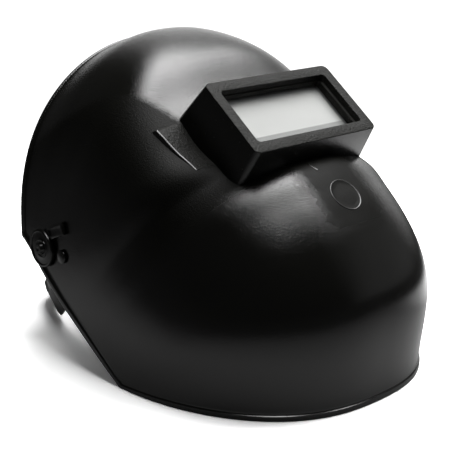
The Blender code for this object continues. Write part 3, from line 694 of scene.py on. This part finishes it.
@dataclass
class ShellForm:
    """The shell's outer face as sections from the crown's rear rim over the brow to the chin.

    Each section gives its top's share of the depth and of the height, its share of the width, the
    powers of its side and of its top, and its foot's way along the side rim. The side rim's corners
    are shares of the depth and of the height.
    """

    shift_y: float
    chin_reach: float = 0.0872
    width: float = 0.241
    depth: float = 0.2637
    height: float = 0.2355
    sections: tuple = (
        (1.000, 0.945, 0.946, 1.80, 2.50, 0.00),
        (0.805, 1.000, 0.963, 2.30, 2.45, 0.13),
        (0.662, 0.957, 0.979, 2.90, 2.70, 0.24),
        (0.551, 0.826, 0.992, 4.60, 3.30, 0.36),
        (0.429, 0.705, 1.000, 5.60, 3.70, 0.48),
        (0.319, 0.671, 1.000, 2.80, 3.30, 0.57),
        (0.228, 0.669, 1.000, 2.10, 3.00, 0.65),
        (0.149, 0.607, 1.000, 2.15, 2.70, 0.72),
        (-0.003, 0.361, 0.998, 2.45, 2.35, 0.86),
        (0.000, 0.000, 0.989, 2.48, 1.88, 1.00),
    )
    side_rim: tuple = ((0.998, 0.350), (0.947, 0.317), (0.520, 0.000))

    def __post_init__(self) -> None:
        """Turns the table of shares into lengths and path places."""
        table = np.array(self.sections)
        self.top_y = table[:, 0] * self.depth - self.chin_reach
        self.top_z = table[:, 1] * self.height
        self.half = table[:, 2] * self.width / 2
        self.side_power = table[:, 3]
        self.top_power = table[:, 4]
        self.foot = table[:, 5]
        runs = np.hypot(np.diff(self.top_y), np.diff(self.top_z))
        self.knots = np.concatenate(([0.0], np.cumsum(runs))) / runs.sum()
        rim = np.array(self.side_rim)
        self.rim_y = rim[:, 0] * self.depth - self.chin_reach
        self.rim_z = rim[:, 1] * self.height
        runs = np.hypot(np.diff(self.rim_y), np.diff(self.rim_z))
        self.rim_knots = np.concatenate(([0.0], np.cumsum(runs))) / runs.sum()

    def _through(self, values: np.ndarray, places: np.ndarray, limited: bool) -> np.ndarray:
        """Cubic curve through a column of the table.

        Args:
            values: Column values at the table's path places.
            places: Path places to read at.
            limited: Whether the slopes are kept from overshooting.

        Returns:
            The curve's values.
        """
        steps = np.diff(self.knots)
        slopes = np.diff(values) / steps
        ends = np.empty_like(values)
        ends[0], ends[-1] = slopes[0], slopes[-1]
        mixed = (slopes[:-1] * steps[1:] + slopes[1:] * steps[:-1]) / (steps[:-1] + steps[1:])
        if limited:
            same_way = slopes[:-1] * slopes[1:] > 0
            total = np.where(same_way, slopes[:-1] + slopes[1:], 1.0)
            mixed = np.where(same_way, 2 * slopes[:-1] * slopes[1:] / total, 0.0)
        ends[1:-1] = mixed
        index = np.clip(np.searchsorted(self.knots, places, side="right") - 1, 0, len(steps) - 1)
        step = steps[index]
        part = (places - self.knots[index]) / step
        return (
            (2 * part**3 - 3 * part**2 + 1) * values[index]
            + (part**3 - 2 * part**2 + part) * step * ends[index]
            + (3 * part**2 - 2 * part**3) * values[index + 1]
            + (part**3 - part**2) * step * ends[index + 1]
        )

    def feet(self, along: np.ndarray) -> tuple[np.ndarray, ...]:
        """Profile point and rim foot of each section.

        Args:
            along: Path places from 0 at the crown to 1 at the chin.

        Returns:
            Profile y and z, then foot y and z.
        """
        share = self._through(self.foot, along, True)
        return (
            self._through(self.top_y, along, False),
            self._through(self.top_z, along, False),
            np.interp(share, self.rim_knots, self.rim_y),
            np.interp(share, self.rim_knots, self.rim_z),
        )

    def point(self, along: np.ndarray, turn: np.ndarray) -> np.ndarray:
        """Points of the outer face.

        Args:
            along: Path places.
            turn: Turns round the section, from -pi/2 at the right rim to pi/2 at the left.

        Returns:
            Points in the CAD's frame.
        """
        top_y, top_z, foot_y, foot_z = self.feet(along)
        half = self._through(self.half, along, True)
        side = self._through(self.side_power, along, True)
        top = self._through(self.top_power, along, True)
        across = np.abs(np.sin(turn))
        rise = np.abs(np.cos(turn))
        nearest, farthest, halvings = 0.7, 1.5, 40
        low = np.full(np.shape(across), nearest)
        high = np.full(np.shape(across), farthest)
        for _ in range(halvings):
            middle = (low + high) / 2
            outside = (middle * across) ** side + (middle * rise) ** top > 1
            high = np.where(outside, middle, high)
            low = np.where(outside, low, middle)
        reach = (low + high) / 2
        share = reach * rise
        return np.stack(
            (
                half * reach * np.sin(turn),
                foot_y + (top_y - foot_y) * share + self.shift_y,
                foot_z + (top_z - foot_z) * share,
            ),
            axis=-1,
        )

    def normal(self, along: np.ndarray, turn: np.ndarray) -> np.ndarray:
        """Outward unit normals of the outer face.

        Args:
            along: Path places.
            turn: Turns round the section.

        Returns:
            Unit vectors.
        """
        step = 1e-4
        quarter = math.pi / 2
        ahead = self.point(np.clip(along + step, 0, 1), turn)
        behind = self.point(np.clip(along - step, 0, 1), turn)
        left = self.point(along, np.clip(turn + step, -quarter, quarter))
        right = self.point(along, np.clip(turn - step, -quarter, quarter))
        cross = np.cross(ahead - behind, left - right)
        return cross / np.linalg.norm(cross, axis=-1, keepdims=True)


@dataclass
class WindowPlace:
    """Where the window stands: the axes of its front face."""

    shift_y: float
    height: float = 0.193
    lean: float = math.radians(37.0)

    def axes(self) -> Matrix:
        """x across, y up along the face, z out of it."""
        place = Matrix.Translation((0.0, self.shift_y, self.height))
        return place @ Matrix.Rotation(self.lean, 4, "X")


@dataclass
class Shell:
    """The moulded skin with its rim lip, and what is moulded in one with it.

    The lip's lines give their distance from the rim and their share of its height. The land's
    section gives shares of its width and of its height. Its reach is where the skin is felt for
    from, and what stands for a miss. Its fades say how fast its inner and its outer edge rise from
    the lower end, and its outer edge from the upper end. The round flat's rings give radius and
    height, and the ridge's loops width, length, corner radius and height.
    """

    form: ShellForm
    window: WindowPlace
    wall: float = 0.0025
    lip_height: float = 0.0013
    lip_lines: tuple = (
        (0.0, 0.75), (0.0003, 0.95), (0.0008, 1.0), (0.0034, 1.0), (0.0039, 0.92),
        (0.0042, 0.6), (0.0045, 0.2), (0.0050, 0.0),
    )
    rows: int = 190
    columns: int = 170
    housing_width: float = 0.120
    housing_tall: float = 0.0648
    housing_deep: float = 0.046
    housing_corner: float = 0.0046
    draft: float = 0.0014
    flare: float = 0.0066
    housing_edge: float = 0.0010
    mouth: tuple = (0.103, 0.0474)
    viewport: tuple = (0.0986, 0.0456)
    pocket: tuple = (0.1096, 0.0526)
    depths: tuple = (0.005, 0.0103, 0.0228)
    mouth_corner: float = 0.003
    pocket_corner: float = 0.0015
    hole_levels: tuple = (-0.080, 0.004)
    frame_margin: float = 0.0013
    frame_deep: float = 0.00078
    land_span: tuple = (-0.010, 0.034)
    land_inner: float = 0.0595
    land_outer: tuple = (0.0835, 0.0755)
    land_proud: float = 0.0030
    land_edge: int = 5
    land_rows: int = 40
    land_reach: tuple = (-0.024, -0.05)
    land_rest: float = 0.0004
    land_clear: float = 0.0001
    land_sunk: float = 0.0012
    land_fades: tuple = (2.5, 1.25, 24.0)
    land_section: tuple = (
        (0.00, 1.00), (0.20, 1.00), (0.40, 1.00), (0.60, 1.00), (0.80, 1.00), (0.93, 1.00),
        (0.965, 0.97), (0.99, 0.88), (1.005, 0.70), (1.015, 0.40), (1.03, 0.00),
    )
    flat_below: float = 0.0727
    flat_rim: float = 0.0113
    flat_rings: tuple = (
        (0.0005, -0.0015), (0.0127, -0.0015), (0.0127, -0.0004), (0.0124, 0.00020),
        (0.0121, 0.00038), (0.0118, 0.00030), (0.0114, 0.00006), (0.0080, 0.00010),
        (0.0040, 0.00010), (0.0005, 0.00010),
    )
    ridge_place: tuple = (-0.0094, -0.0448, 0.0)
    ridge_turn: float = math.radians(8.0)
    ridge_loops: tuple = (
        (0.0019, 0.0092, 0.0009, -0.0012),
        (0.0019, 0.0092, 0.0009, 0.0),
        (0.0011, 0.0084, 0.0005, 0.0005),
    )

    def build(self) -> None:
        """Builds the skin, the housing, the land and the marks."""
        skin = self._skin()
        levels = tuple((*self.pocket, self.mouth_corner, level) for level in self.hole_levels)
        cut(skin, self._placed(draw_loops("window_hole", levels, 6, closed=False)))
        smooth(skin, 35.0)
        self._marks(skin)
        hand_over(skin, "mask", Finishes.SHELL, ("shell",))
        housing = hand_over(self._housing(), "mask", Finishes.BOX)
        self._dress_frame(housing)
        for side in (-1, 1):
            self._land(side, skin)

    def _spread(self, count: int, lengths: np.ndarray) -> np.ndarray:
        """Places of grid lines, with the lip's own lines at both ends.

        Args:
            count: Grid lines in all.
            lengths: Run of each line of the other way, in metres per unit of place.

        Returns:
            Places from 0 to 1, one row for each line and one column for each length.
        """
        lip = np.array([width for width, _ in self.lip_lines])
        starts = lip[:, None] / lengths[None, 0]
        ends = 1 - lip[:, None] / lengths[None, 1]
        inner = count - 2 * len(lip)
        shares = np.linspace(0, 1, inner + 2)[1:-1, None]
        middle = starts[-1] + (ends[-1] - starts[-1]) * shares
        return np.concatenate((starts, middle, ends[::-1]))

    def _skin(self) -> Piece:
        """The plain skin, drawn out of a flat grid along the sections."""
        bpy.ops.object.select_all(action="DESELECT")
        bpy.ops.mesh.primitive_grid_add(
            x_subdivisions=self.columns - 1, y_subdivisions=self.rows - 1, size=1.0
        )
        piece = bpy.context.object
        piece.name = "shell_skin"
        mesh = piece.data
        flat = np.empty(len(mesh.vertices) * 3)
        mesh.vertices.foreach_get("co", flat)
        flat = flat.reshape(-1, 3)
        columns = len(np.unique(flat[:, 0].round(6)))
        rows = len(flat) // columns
        turns = np.linspace(-math.pi / 2, math.pi / 2, columns)
        small = 0.01
        start = np.zeros(columns)
        end = np.ones(columns)
        first = self.form.point(start + small, turns) - self.form.point(start, turns)
        last = self.form.point(end - small, turns) - self.form.point(end, turns)
        lengths = np.linalg.norm(np.stack((first, last)), axis=-1) / small
        along = self._spread(rows, lengths)
        top_y, top_z, foot_y, foot_z = self.form.feet(along)
        reach = np.hypot(top_y - foot_y, top_z - foot_z)
        span = math.pi * reach
        edge = (span[:, 0], span[:, -1])
        turn = self._spread(columns, np.stack(edge)).T * math.pi - math.pi / 2
        lift = self._lip(along.shape)[..., None] * self.form.normal(along, turn)
        points = self.form.point(along, turn) + lift
        points[-1, :, 2] = 0.0
        points[..., 2] = np.maximum(points[..., 2], 0.0)
        mesh.vertices.foreach_set("co", points.reshape(-1))
        mesh.update()
        wall = piece.modifiers.new("wall", "SOLIDIFY")
        wall.thickness = self.wall
        wall.offset = -1.0
        wall.use_even_offset = True
        middle = mesh.polygons[len(mesh.polygons) // 2]
        heart = Vector((0.0, 0.0, 0.09))
        if middle.normal.dot(middle.center - heart) < 0:
            mesh.flip_normals()
        apply_all(piece)
        for vertex in mesh.vertices:
            vertex.co.z = max(vertex.co.z, 0.0)
        return piece

    def _lip(self, shape: tuple[int, int]) -> np.ndarray:
        """Height of the rim's lip over the skin at each grid point.

        Args:
            shape: The grid's lines along and across.

        Returns:
            Heights in metres.
        """
        heights = np.array([height for _, height in self.lip_lines]) * self.lip_height
        count = len(heights)
        lift = np.zeros(shape)
        lift[:count] = heights[:, None]
        lift[-count:] = heights[::-1, None]
        lift[:, :count] = np.maximum(lift[:, :count], heights)
        lift[:, -count:] = np.maximum(lift[:, -count:], heights[::-1])
        return lift

    def _placed(self, piece: Piece) -> Piece:
        """Moves a piece from its own axes to the window's, and returns it."""
        piece.matrix_world = self.window.axes()
        apply_all(piece)
        return piece

    def _housing(self) -> Piece:
        """The deep box round the window, drafted, with its stepped mouth and thin rear walls."""
        deep = self.housing_deep
        wide, tall, corner = self.housing_width, self.housing_tall, self.housing_corner
        draft, flare, wall = 2 * self.draft, 2 * self.flare, 2 * self.wall
        mouth_deep, view_deep, pocket_deep = self.depths
        round_in, round_back = self.mouth_corner, self.pocket_corner
        piece = draw_loops(
            "lens_housing",
            (
                (wide + draft, tall + flare, corner, -deep),
                (wide, tall, corner, 0.0),
                (*self.mouth, round_in, 0.0),
                (*self.mouth, round_in, -mouth_deep),
                (*self.viewport, round_in, -mouth_deep),
                (*self.viewport, round_in, -view_deep),
                (*self.pocket, round_back, -view_deep),
                (*self.pocket, round_back, -pocket_deep),
                (wide - wall, tall - wall, round_in, -pocket_deep),
                (wide - wall, tall - wall, round_in, -deep),
            ),
        )
        self._placed(piece)
        soften(piece, self.housing_edge)
        smooth(piece, 50.0)
        return piece

    def _marks(self, skin: Piece) -> None:
        """The small round flat and the short ridge below the window.

        Args:
            skin: The finished skin that they lie on.
        """
        flat = turned("round_flat", self.flat_rings)
        faces = flat.data.polygons
        rim = [face.index for face in faces if face.center.xy.length > self.flat_rim]
        lay_on(flat, skin, self.window.axes() @ Matrix.Translation((0.0, -self.flat_below, 0.0)))
        smooth(flat, 60.0)
        ridge = draw_loops("short_ridge", self.ridge_loops, 6, closed=False)
        turn = Matrix.Rotation(self.ridge_turn, 4, "Z")
        lay_on(ridge, skin, self.window.axes() @ Matrix.Translation(self.ridge_place) @ turn)
        smooth(ridge, 60.0)
        hand_over(flat, "mask", Finishes.SHELL)
        flat.data.materials.append(Finishes.BOX.value.material())
        for index in rim:
            flat.data.polygons[index].material_index = 1
        hand_over(ridge, "mask", Finishes.BOX)

    def _dress_frame(self, housing: Piece) -> None:
        """Gives the front frame and the mouth's steps their matt finish.

        Args:
            housing: The box, at its place.
        """
        housing.data.materials.append(Finishes.FRAME.value.material())
        inward = self.window.axes().inverted()
        half_wide = self.housing_width / 2 - self.frame_margin
        half_tall = self.housing_tall / 2 - self.frame_margin
        for face in housing.data.polygons:
            place = inward @ face.center
            inside = abs(place.x) < half_wide and abs(place.y) < half_tall
            face.material_index = int(inside or place.z > -self.frame_deep)

    def _land(self, side: int, skin: Piece) -> None:
        """The flat land beside the housing: proud at its upper end, sinking into the skin below.

        Args:
            side: -1 for the right side, 1 for the left.
            skin: The finished skin that it grows out of.
        """
        low, high = self.land_span
        section = self.land_section
        over, under = self.land_reach
        ebb, rising, closing = self.land_fades
        bpy.ops.object.select_all(action="DESELECT")
        bpy.ops.mesh.primitive_grid_add(
            x_subdivisions=len(section) - 1, y_subdivisions=self.land_rows, size=1.0
        )
        piece = bpy.context.object
        piece.name = "housing_land_left" if side > 0 else "housing_land_right"
        axes = self.window.axes()
        out = (axes.to_3x3() @ Vector((0.0, 0.0, 1.0))).normalized()
        inward = axes.inverted()

        def level(x: float, y: float) -> float:
            """Height of the skin in the window's axes."""
            met, place, _, _ = skin.ray_cast(axes @ Vector((side * x, y, over)), -out)
            return (inward @ place).z if met else under

        columns = []
        for vertex in piece.data.vertices:
            column = round((vertex.co.x + 0.5) * (len(section) - 1))
            share, lift = section[column]
            down = 0.5 - vertex.co.y
            y = high + (low - high) * down
            outer = self.land_outer[0] + (self.land_outer[1] - self.land_outer[0]) * down
            x = self.land_inner + (outer - self.land_inner) * share
            rest = self.land_rest * min(1.0, ebb * (1.0 - down))
            rise = self.land_proud * min(1.0, rising * (1.0 - down)) * min(1.0, down * closing)
            inside = level(self.land_inner, y) + rest
            edge = level(outer, y) + rise
            ground = level(x, y)
            flat = max(inside + (edge - inside) * share, ground + self.land_clear)
            at_end = down < 0.001 or down > 0.999
            height = ground + (flat - ground) * lift - self.land_sunk * (1.0 - lift + at_end)
            columns.append(column)
            vertex.co = axes @ Vector((side * x, y, height))
        piece.data.update()
        if piece.data.polygons[len(piece.data.polygons) // 2].normal.dot(out) < 0:
            piece.data.flip_normals()
        smooth(piece, 50.0)
        hand_over(piece, "mask", Finishes.FRAME)
        piece.data.materials.append(Finishes.BOX.value.material())
        for face in piece.data.polygons:
            first = min(columns[index] for index in face.vertices)
            face.material_index = int(first >= self.land_edge)


# Pivots and harness


@dataclass
class Pivot:
    """The turning knob on one side, with its raised rim, sunk face and hub."""

    side: int
    radius: float = 0.0145
    edge: float = 0.0009
    bore: float = 0.0043
    socket: float = 0.0024
    rim_height: float = 0.0026

    def build(self) -> None:
        """Builds the knob in place of its CAD node."""
        name = "left" if self.side > 0 else "right"
        low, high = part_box(f"pivot_knob_{name}")
        back, hub = sorted((abs(low[0]), abs(high[0])))
        front = back + self.rim_height
        radius, edge = self.radius, self.edge
        # Rings by radius and height: the bolt's seat, the rim, the sunk face, its ring and the hub
        profile = (
            (0.0004, back + self.socket), (self.bore, back + self.socket), (self.bore, back),
            (radius - 0.0004, back), (radius, back + 0.0004), (radius, front - edge),
            (radius - 0.00025, front - 0.35 * edge), (radius - edge, front),
            (radius - 0.0016, front), (radius - 0.0020, front - 0.0003),
            (radius - 0.0022, front - 0.0008), (0.0078, front - 0.0008),
            (0.0074, front - 0.0006), (0.0072, front - 0.0001), (0.0066, front),
            (0.0060, front - 0.0001), (0.0057, front - 0.0006),
            (0.0047, front - 0.0006), (0.0044, front - 0.0002),
            (0.0041, 0.4 * front + 0.6 * hub), (0.0034, hub), (0.0018, hub),
            (0.0013, hub - 0.0004), (0.0004, hub - 0.0005),
        )
        knob = turned(f"round_knob_{name}", profile)
        side = float(self.side)
        outwards = Matrix(((0.0, 0.0, side), (1.0, 0.0, 0.0), (0.0, side, 0.0)))
        knob.matrix_world = Matrix.Translation((0.0, PIVOT_Y, PIVOT_Z)) @ outwards.to_4x4()
        apply_all(knob)
        smooth(knob, 35.0)
        hand_over(knob, f"knob_{name}", Finishes.KNOB, (f"pivot_knob_{name}",))


@dataclass
class Fittings:
    """The small mask fittings and the head harness, their edges rounded as moulded.

    Each row gives the node, its body and its finish, and the rounding's width and steps.
    """

    rounding: tuple = (
        ("angle_stop", "mask", "KNOB", 0.00045, 3),
        ("stop_plug", "mask", "KNOB", 0.00040, 3),
        ("side_arm", "headgear", "HARNESS", 0.00050, 2),
        ("pivot_bolt", "headgear", "FITTING", 0.00040, 2),
        ("arm_rivet", "headgear", "FITTING", 0.00030, 2),
    )
    single: tuple = (
        ("headband", "headgear", "HARNESS", 0.00050, 3),
        ("crown_strap", "headgear", "HARNESS", 0.00045, 3),
        ("band_clasp", "headgear", "FITTING", 0.00060, 3),
        ("lens_retainer", "mask", "FITTING", 0.00050, 2),
    )

    def build(self) -> None:
        """Builds each piece in place of its CAD node."""
        sides = ("left", "right")
        pairs = [(f"{row[0]}_{side}", *row[1:]) for row in self.rounding for side in sides]
        for node, body, finish, width, steps in (*pairs, *self.single):
            hand_over(soft_copy(node, width, steps), body, Finishes[finish], (node,))


# Studio


@dataclass
class Studio:
    """Pale floor, pale surroundings and soft lights.

    Each backdrop gives the turn of its middle, its outer and inner edge as cosines and its
    strength. Each panel gives its name, place, size, degrees of turn and watts. The horizon and
    the floor's fades are given by where they start and end, and what differs between the camera's
    own view and the mirrored one by both values.
    """

    floor_size: float = 14.0
    room_glow: float = 0.04
    backdrops: tuple = (
        (math.radians(125.0), 0.80, 0.95, 1.15),
        (math.radians(56.0), 0.80, 0.97, 0.21),
    )
    white: float = 1.3
    horizon: tuple = (0.80, 0.55)
    floor_shown: float = 1.6
    floor_mirrored: tuple = (0.32, 1.5)
    # Painted light: the floor as the shell mirrors it grows paler towards the right, between these two
    # places
    painted_light_right: tuple = (0.19, 0.30)
    far_seen: tuple = (0.45, 0.95)
    far_mirrored: tuple = (0.22, 0.44)
    far_glow: tuple = (1.26, 0.06)
    panels: tuple = (
        ("overhead_panel", (0.50, -0.09, 1.2), (1.17, 0.76), -41.3, 33.0),
        ("brow_panel", (-0.13, -0.29, 1.19), (0.38, 0.46), 0.0, 5.8),
    )

    def build(self) -> None:
        """Adds the floor, the surroundings and the lights, and shows white as white."""
        bpy.context.scene.view_settings.view_transform = "Standard"
        self._floor()
        self._surroundings()
        for panel in self.panels:
            self._panel(*panel)

    def _floor(self) -> None:
        """The pale floor, white far off, and brighter to the eye than in the shell's reflections, where
        it has painted light: paler towards the right.
        """
        bpy.ops.object.select_all(action="DESELECT")
        bpy.ops.mesh.primitive_plane_add(size=self.floor_size, location=(0.0, 0.0, -0.0002))
        floor = bpy.context.object
        floor.name = "studio_floor"
        material = bpy.data.materials.new("pale_floor")
        graph = Graph(material)
        place = graph.place()
        away = graph.add("VectorMath", {"operation": "LENGTH"}, out="Value", in_0=place)
        seen = graph.add("LightPath", out="Is Camera Ray")
        far_seen = graph.fade(away, *self.far_seen)
        far_mirrored = graph.fade(away, *self.far_mirrored)
        glow = far_seen * seen + far_mirrored * (1.0 - seen)
        # Painted light in the shell's reflections: the mirrored floor is paler towards the right
        right = graph.fade(graph.axis(place, "X"), *self.painted_light_right)
        greys = (*self.floor_mirrored, self.floor_shown)
        low, high, shown = ((grey, grey, grey, 1.0) for grey in greys)
        near = graph.mix(seen, graph.mix(right, low, high), shown)
        lit = graph.add("BsdfDiffuse", Color=near)
        bright, dim = self.far_glow
        strength = seen * (bright - dim) + dim
        glowing = graph.add("Emission", Color=(1.0, 1.0, 1.0, 1.0), Strength=strength)
        shader = graph.add("MixShader", in_0=glow, in_1=lit, in_2=glowing)
        graph.add("OutputMaterial", Surface=shader)
        floor.data.materials.append(material)

    def _surroundings(self) -> None:
        """White behind the object, dimmer where it is only reflected."""
        world = bpy.data.worlds.new("studio")
        bpy.context.scene.world = world
        graph = Graph(world)
        seen = graph.add("LightPath", out="Is Camera Ray")
        facing = graph.add("TexCoord", out="Generated")
        across, back, up = (graph.axis(facing, name) for name in "XYZ")
        least = 1e-4
        level = (across * across + back * back + least) ** -0.5
        below = graph.fade(up, *self.horizon)
        glow = self.room_glow
        for turn, edge, full, strength in self.backdrops:
            way = across * math.sin(turn) - back * math.cos(turn)
            glow = graph.fade(way * level, edge, full) * below * strength + glow
        lit = graph.add("Background", Color=(1.0, 1.0, 1.0, 1.0), Strength=glow)
        shown = graph.add("Background", Color=(1.0, 1.0, 1.0, 1.0), Strength=self.white)
        both = graph.add("MixShader", in_0=seen, in_1=lit, in_2=shown)
        graph.add("OutputWorld", Surface=both)

    @staticmethod
    def _panel(name: str, place: tuple, size: tuple, turn: float, power: float) -> None:
        """Adds a soft rectangular light that faces straight down.

        Args:
            name: Light name.
            place: Where it hangs.
            size: Width and height.
            turn: Degrees that it is turned about the vertical.
            power: Watts.
        """
        data = bpy.data.lights.new(name, "AREA")
        data.shape = "RECTANGLE"
        data.size, data.size_y = size
        data.energy = power
        light = bpy.data.objects.new(name, data)
        bpy.context.collection.objects.link(light)
        light.location = place
        light.rotation_euler = (0.0, 0.0, math.radians(turn))


@dataclass
class Viewpoint:
    """The camera's place and lens."""

    place: tuple = (-0.5462, SHIFT_Y - 0.5240, 0.3404)
    azimuth: float = 42.6
    elevation: float = 17.2
    lens: float = 88.0

    def build(self) -> None:
        """Adds the camera and makes it the scene's own."""
        data = bpy.data.cameras.new("view")
        data.lens = self.lens
        data.sensor_width = 36.0
        data.clip_start = 0.01
        camera = bpy.data.objects.new("view", data)
        bpy.context.collection.objects.link(camera)
        camera.location = self.place
        turn, tilt = math.radians(self.azimuth), math.radians(self.elevation)
        flat = math.cos(tilt)
        aim = Vector((math.sin(turn) * flat, math.cos(turn) * flat, -math.sin(tilt)))
        camera.rotation_euler = aim.to_track_quat("-Z", "Y").to_euler()
        bpy.context.scene.camera = camera


def main() -> None:
    """Builds the mask and its studio in order."""
    logging.basicConfig(level=logging.INFO, format="%(message)s")
    Viewpoint().build()
    Studio().build()
    Shell(ShellForm(SHIFT_Y), WindowPlace(SHIFT_Y)).build()
    for side in (-1, 1):
        Pivot(side).build()
    Fittings().build()
    stay = {"cover_lens": Finishes.LENS, "window_card": Finishes.CARD, "filter_glass": Finishes.GLASS}
    for node, finish in stay.items():
        finish.value.dress(frame["nodes"][node])


if __name__ == "__main__":
    main()
